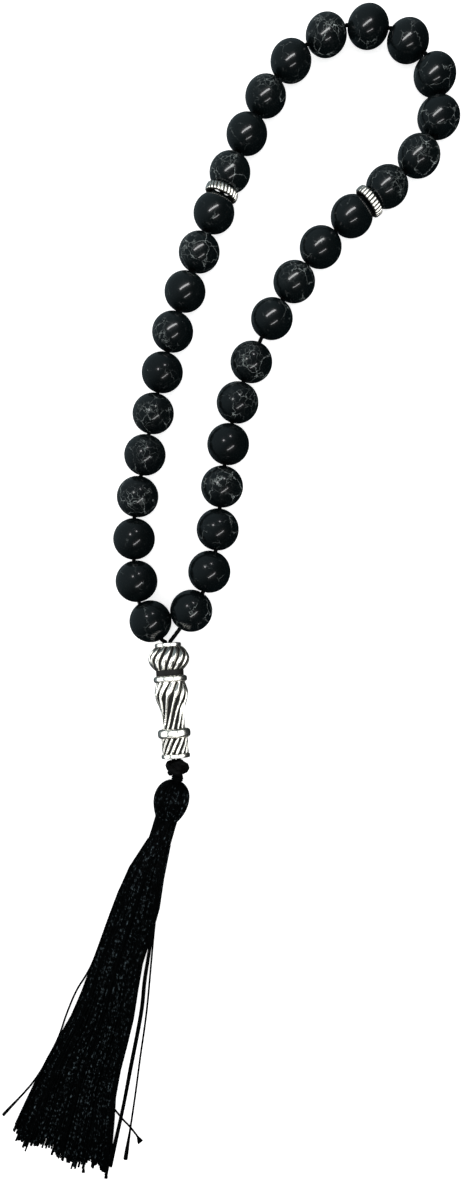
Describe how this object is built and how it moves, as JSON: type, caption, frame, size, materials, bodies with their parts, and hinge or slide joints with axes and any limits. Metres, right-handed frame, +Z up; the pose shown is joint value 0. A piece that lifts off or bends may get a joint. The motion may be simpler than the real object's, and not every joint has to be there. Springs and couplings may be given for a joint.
{
  "type": "misbaha prayer beads",
  "caption": "Loop of polished black stone prayer beads on a cord, with silver spacer rings, a silver minaret-shaped imam bead, a stop knot and a black silk tassel.",
  "frame": {"origin": "under the middle of the whole piece, on the surface that it lies on", "axes": "+Y from the tassel to the crown of the loop, +X to the right of the loop seen from above, +Z up from the surface"},
  "size_m": [0.1054, 0.2746, 0.01],
  "materials": {
    "black_stone": "polished",
    "antique_silver": "satin",
    "black_cord": "matte",
    "tassel_silk": "satin"
  },
  "bodies": {
    "cord_end": {"cord_tail": "black_cord", "stop_knot": "black_cord"},
    "neck": {"neck_link": "black_cord"},
    "tassel": {"tassel_loop": "tassel_silk", "tassel_head": "tassel_silk", "tassel_binding": "tassel_silk", "tassel_skirt": "tassel_silk"},
    "imam": {"imam_bead": "antique_silver"},
    "row_01": {"cord_row_01": "black_cord"},
    "row_02": {"cord_row_02": "black_cord"},
    "row_03": {"cord_row_03": "black_cord"},
    "row_04": {"cord_row_04": "black_cord"},
    "row_05": {"cord_row_05": "black_cord"},
    "row_06": {"cord_row_06": "black_cord"},
    "row_07": {"cord_row_07": "black_cord"},
    "row_08": {"cord_row_08": "black_cord"},
    "row_09": {"cord_row_09": "black_cord"},
    "row_10": {"cord_row_10": "black_cord"},
    "row_11": {"cord_row_11": "black_cord"},
    "row_13": {"cord_row_13": "black_cord"},
    "row_14": {"cord_row_14": "black_cord"},
    "row_15": {"cord_row_15": "black_cord"},
    "row_16": {"cord_row_16": "black_cord"},
    "bead_01": {"bead_01": "black_stone"},
    "bead_02": {"bead_02": "black_stone"},
    "bead_03": {"bead_03": "black_stone"},
    "bead_04": {"bead_04": "black_stone"},
    "bead_05": {"bead_05": "black_stone"},
    "bead_06": {"bead_06": "black_stone"},
    "bead_07": {"bead_07": "black_stone"},
    "bead_08": {"bead_08": "black_stone"},
    "bead_09": {"bead_09": "black_stone"},
    "bead_10": {"bead_10": "black_stone"},
    "bead_11": {"bead_11": "black_stone"},
    "bead_12": {"bead_12": "black_stone"},
    "bead_13": {"bead_13": "black_stone"},
    "bead_14": {"bead_14": "black_stone"},
    "bead_15": {"bead_15": "black_stone"},
    "bead_16": {"bead_16": "black_stone"},
    "bead_17": {"bead_17": "black_stone"},
    "bead_18": {"bead_18": "black_stone"},
    "bead_19": {"bead_19": "black_stone"},
    "bead_20": {"bead_20": "black_stone"},
    "bead_21": {"bead_21": "black_stone"},
    "bead_22": {"bead_22": "black_stone"},
    "bead_23": {"bead_23": "black_stone"},
    "bead_24": {"bead_24": "black_stone"},
    "bead_25": {"bead_25": "black_stone"},
    "bead_26": {"bead_26": "black_stone"},
    "bead_27": {"bead_27": "black_stone"},
    "bead_28": {"bead_28": "black_stone"},
    "bead_29": {"bead_29": "black_stone"},
    "bead_30": {"bead_30": "black_stone"},
    "bead_31": {"bead_31": "black_stone"},
    "bead_32": {"bead_32": "black_stone"},
    "bead_33": {"bead_33": "black_stone"},
    "spacer_left": {"spacer_left": "antique_silver"},
    "spacer_right": {"spacer_right": "antique_silver"}
  },
  "joints": [
    {"name": "neck_swing", "type": "hinge", "parent": "cord_end", "child": "neck", "pos_m": [-0.01482, -0.04754, 0.005], "axis": [0, 0, 1], "range_deg": [-25, 40]},
    {"name": "neck_lift", "type": "hinge", "parent": "neck", "child": "tassel", "pos_m": [-0.01482, -0.04754, 0.005], "axis": [-0.9563, 0.2924, 0], "range_deg": [0, 35]},
    {"name": "imam_spin", "type": "hinge", "parent": "cord_end", "child": "imam", "pos_m": [-0.01623, -0.02949, 0.005], "axis": [-0.0785, 0.9969, 0], "continuous": true},
    {"name": "bead_27_slide", "type": "slide", "parent": "row_07", "child": "bead_27", "axis": [0.3865, 0.9223, 0], "range_m": [0, 0.0011]},
    {"name": "strand_fold_01", "type": "hinge", "parent": "cord_end", "child": "row_01", "pos_m": [-0.01732, -0.01574, 0.005], "axis": [0.9969, 0.0785, 0], "range_deg": [0, 15]},
    {"name": "strand_fold_02", "type": "hinge", "parent": "row_01", "child": "row_02", "pos_m": [-0.01658, -0.00528, 0.005], "axis": [0.9893, 0.1461, 0], "range_deg": [0, 15]},
    {"name": "strand_fold_03", "type": "hinge", "parent": "row_02", "child": "row_03", "pos_m": [-0.01578, 0.00475, 0.005], "axis": [0.996, 0.0898, 0], "range_deg": [0, 15]},
    {"name": "strand_fold_04", "type": "hinge", "parent": "row_03", "child": "row_04", "pos_m": [-0.01529, 0.01503, 0.005], "axis": [0.9965, 0.0841, 0], "range_deg": [0, 15]},
    {"name": "strand_fold_05", "type": "hinge", "parent": "row_04", "child": "row_05", "pos_m": [-0.01394, 0.02523, 0.005], "axis": [0.9961, 0.0887, 0], "range_deg": [0, 15]},
    {"name": "strand_fold_06", "type": "hinge", "parent": "row_05", "child": "row_06", "pos_m": [-0.01209, 0.03536, 0.005], "axis": [0.996, 0.0897, 0], "range_deg": [0, 15]},
    {"name": "strand_fold_07", "type": "hinge", "parent": "row_06", "child": "row_07", "pos_m": [-0.00969, 0.04537, 0.005], "axis": [0.9969, 0.0792, 0], "range_deg": [0, 15]},
    {"name": "strand_fold_08", "type": "hinge", "parent": "row_07", "child": "row_08", "pos_m": [-0.00643, 0.05541, 0.005], "axis": [0.9973, 0.0732, 0], "range_deg": [0, 15]},
    {"name": "strand_fold_09", "type": "hinge", "parent": "row_08", "child": "row_09", "pos_m": [-0.00247, 0.06516, 0.005], "axis": [0.9987, 0.0517, 0], "range_deg": [0, 15]},
    {"name": "strand_fold_10", "type": "hinge", "parent": "row_09", "child": "row_10", "pos_m": [0.00214, 0.07426, 0.005], "axis": [1, 0.001, 0], "range_deg": [0, 15]},
    {"name": "strand_fold_11", "type": "hinge", "parent": "row_10", "child": "row_11", "pos_m": [0.0074, 0.08291, 0.005], "axis": [0.998, -0.0625, 0], "range_deg": [0, 15]},
    {"name": "strand_fold_13", "type": "hinge", "parent": "row_11", "child": "row_13", "pos_m": [0.01953, 0.09914, 0.005], "axis": [0.9781, -0.2081, 0], "range_deg": [0, 15]},
    {"name": "strand_fold_14", "type": "hinge", "parent": "row_13", "child": "row_14", "pos_m": [0.02525, 0.10768, 0.005], "axis": [0.9732, -0.23, 0], "range_deg": [0, 15]},
    {"name": "strand_fold_15", "type": "hinge", "parent": "row_14", "child": "row_15", "pos_m": [0.0289, 0.11757, 0.005], "axis": [0.9775, -0.2111, 0], "range_deg": [0, 15]},
    {"name": "strand_fold_16", "type": "hinge", "parent": "row_15", "child": "row_16", "pos_m": [0.03071, 0.12658, 0.005], "axis": [0.9819, -0.1896, 0], "range_deg": [0, 15]},
    {"name": "turn_bead_01", "type": "hinge", "parent": "row_01", "child": "bead_01", "pos_m": [-0.02153, -0.01084, 0.005], "axis": [-0.532, 0.8467, 0], "continuous": true},
    {"name": "turn_bead_02", "type": "hinge", "parent": "row_02", "child": "bead_02", "pos_m": [-0.02504, -0.00123, 0.005], "axis": [-0.1388, 0.9903, 0], "continuous": true},
    {"name": "turn_bead_03", "type": "hinge", "parent": "row_03", "child": "bead_03", "pos_m": [-0.02574, 0.009, 0.005], "axis": [0.0025, 1, 0], "continuous": true},
    {"name": "turn_bead_04", "type": "hinge", "parent": "row_04", "child": "bead_04", "pos_m": [-0.02494, 0.01923, 0.005], "axis": [0.1521, 0.9884, 0], "continuous": true},
    {"name": "turn_bead_05", "type": "hinge", "parent": "row_05", "child": "bead_05", "pos_m": [-0.02322, 0.02938, 0.005], "axis": [0.1831, 0.9831, 0], "continuous": true},
    {"name": "turn_bead_06", "type": "hinge", "parent": "row_06", "child": "bead_06", "pos_m": [-0.02124, 0.03949, 0.005], "axis": [0.2016, 0.9795, 0], "continuous": true},
    {"name": "turn_bead_07", "type": "hinge", "parent": "row_07", "child": "bead_07", "pos_m": [-0.01904, 0.04955, 0.005], "axis": [0.2249, 0.9744, 0], "continuous": true},
    {"name": "turn_bead_08", "type": "hinge", "parent": "row_08", "child": "bead_08", "pos_m": [-0.01652, 0.05954, 0.005], "axis": [0.2635, 0.9647, 0], "continuous": true},
    {"name": "turn_bead_09", "type": "hinge", "parent": "row_09", "child": "bead_09", "pos_m": [-0.0135, 0.06937, 0.005], "axis": [0.3247, 0.9458, 0], "continuous": true},
    {"name": "turn_bead_10", "type": "hinge", "parent": "row_10", "child": "bead_10", "pos_m": [-0.01, 0.07906, 0.005], "axis": [0.3532, 0.9355, 0], "continuous": true},
    {"name": "turn_bead_11", "type": "hinge", "parent": "row_11", "child": "bead_11", "pos_m": [-0.00636, 0.0887, 0.005], "axis": [0.3537, 0.9354, 0], "continuous": true},
    {"name": "turn_bead_12", "type": "hinge", "parent": "row_11", "child": "bead_12", "pos_m": [-0.00241, 0.09864, 0.005], "axis": [0.3859, 0.9225, 0], "continuous": true},
    {"name": "turn_bead_13", "type": "hinge", "parent": "row_13", "child": "bead_13", "pos_m": [0.00177, 0.10805, 0.005], "axis": [0.4256, 0.9049, 0], "continuous": true},
    {"name": "turn_bead_14", "type": "hinge", "parent": "row_14", "child": "bead_14", "pos_m": [0.00643, 0.11723, 0.005], "axis": [0.4784, 0.8781, 0], "continuous": true},
    {"name": "turn_bead_15", "type": "hinge", "parent": "row_15", "child": "bead_15", "pos_m": [0.01267, 0.12559, 0.005], "axis": [0.7065, 0.7077, 0], "continuous": true},
    {"name": "turn_bead_16", "type": "hinge", "parent": "row_16", "child": "bead_16", "pos_m": [0.02132, 0.13131, 0.005], "axis": [0.928, 0.3726, 0], "continuous": true},
    {"name": "turn_bead_17", "type": "hinge", "parent": "row_16", "child": "bead_17", "pos_m": [0.03143, 0.13231, 0.005], "axis": [0.9829, -0.1842, 0], "continuous": true},
    {"name": "turn_bead_18", "type": "hinge", "parent": "row_16", "child": "bead_18", "pos_m": [0.04081, 0.12764, 0.005], "axis": [0.7402, -0.6724, 0], "continuous": true},
    {"name": "turn_bead_19", "type": "hinge", "parent": "row_15", "child": "bead_19", "pos_m": [0.04696, 0.11847, 0.005], "axis": [0.3404, -0.9403, 0], "continuous": true},
    {"name": "turn_bead_20", "type": "hinge", "parent": "row_14", "child": "bead_20", "pos_m": [0.04766, 0.10786, 0.005], "axis": [-0.213, -0.9771, 0], "continuous": true},
    {"name": "turn_bead_21", "type": "hinge", "parent": "row_13", "child": "bead_21", "pos_m": [0.04292, 0.09868, 0.005], "axis": [-0.6727, -0.7399, 0], "continuous": true},
    {"name": "turn_bead_22", "type": "hinge", "parent": "row_11", "child": "bead_22", "pos_m": [0.03539, 0.09177, 0.005], "axis": [-0.7946, -0.6071, 0], "continuous": true},
    {"name": "turn_bead_23", "type": "hinge", "parent": "row_11", "child": "bead_23", "pos_m": [0.02698, 0.08517, 0.005], "axis": [-0.7775, -0.6289, 0], "continuous": true},
    {"name": "turn_bead_24", "type": "hinge", "parent": "row_10", "child": "bead_24", "pos_m": [0.01955, 0.0781, 0.005], "axis": [-0.6682, -0.744, 0], "continuous": true},
    {"name": "turn_bead_25", "type": "hinge", "parent": "row_09", "child": "bead_25", "pos_m": [0.01317, 0.07005, 0.005], "axis": [-0.5707, -0.8212, 0], "continuous": true},
    {"name": "turn_bead_26", "type": "hinge", "parent": "row_08", "child": "bead_26", "pos_m": [0.00777, 0.0613, 0.005], "axis": [-0.4782, -0.8783, 0], "continuous": true},
    {"name": "turn_bead_28", "type": "hinge", "parent": "row_06", "child": "bead_28", "pos_m": [-0.00055, 0.04124, 0.005], "axis": [-0.265, -0.9643, 0], "continuous": true},
    {"name": "turn_bead_29", "type": "hinge", "parent": "row_05", "child": "bead_29", "pos_m": [-0.00282, 0.03121, 0.005], "axis": [-0.1753, -0.9845, 0], "continuous": true},
    {"name": "turn_bead_30", "type": "hinge", "parent": "row_04", "child": "bead_30", "pos_m": [-0.00429, 0.02102, 0.005], "axis": [-0.1101, -0.9939, 0], "continuous": true},
    {"name": "turn_bead_31", "type": "hinge", "parent": "row_03", "child": "bead_31", "pos_m": [-0.00533, 0.01078, 0.005], "axis": [-0.0928, -0.9957, 0], "continuous": true},
    {"name": "turn_bead_32", "type": "hinge", "parent": "row_02", "child": "bead_32", "pos_m": [-0.00733, 0.00076, 0.005], "axis": [-0.2973, -0.9548, 0], "continuous": true},
    {"name": "turn_bead_33", "type": "hinge", "parent": "row_01", "child": "bead_33", "pos_m": [-0.01166, -0.00845, 0.005], "axis": [-0.5443, -0.8389, 0], "continuous": true},
    {"name": "turn_spacer_left", "type": "hinge", "parent": "row_11", "child": "spacer_left", "pos_m": [-0.00447, 0.0937, 0.005], "axis": [0.3698, 0.9291, 0], "continuous": true},
    {"name": "turn_spacer_right", "type": "hinge", "parent": "row_11", "child": "spacer_right", "pos_m": [0.03114, 0.08853, 0.005], "axis": [-0.7861, -0.618, 0], "continuous": true}
  ]
}
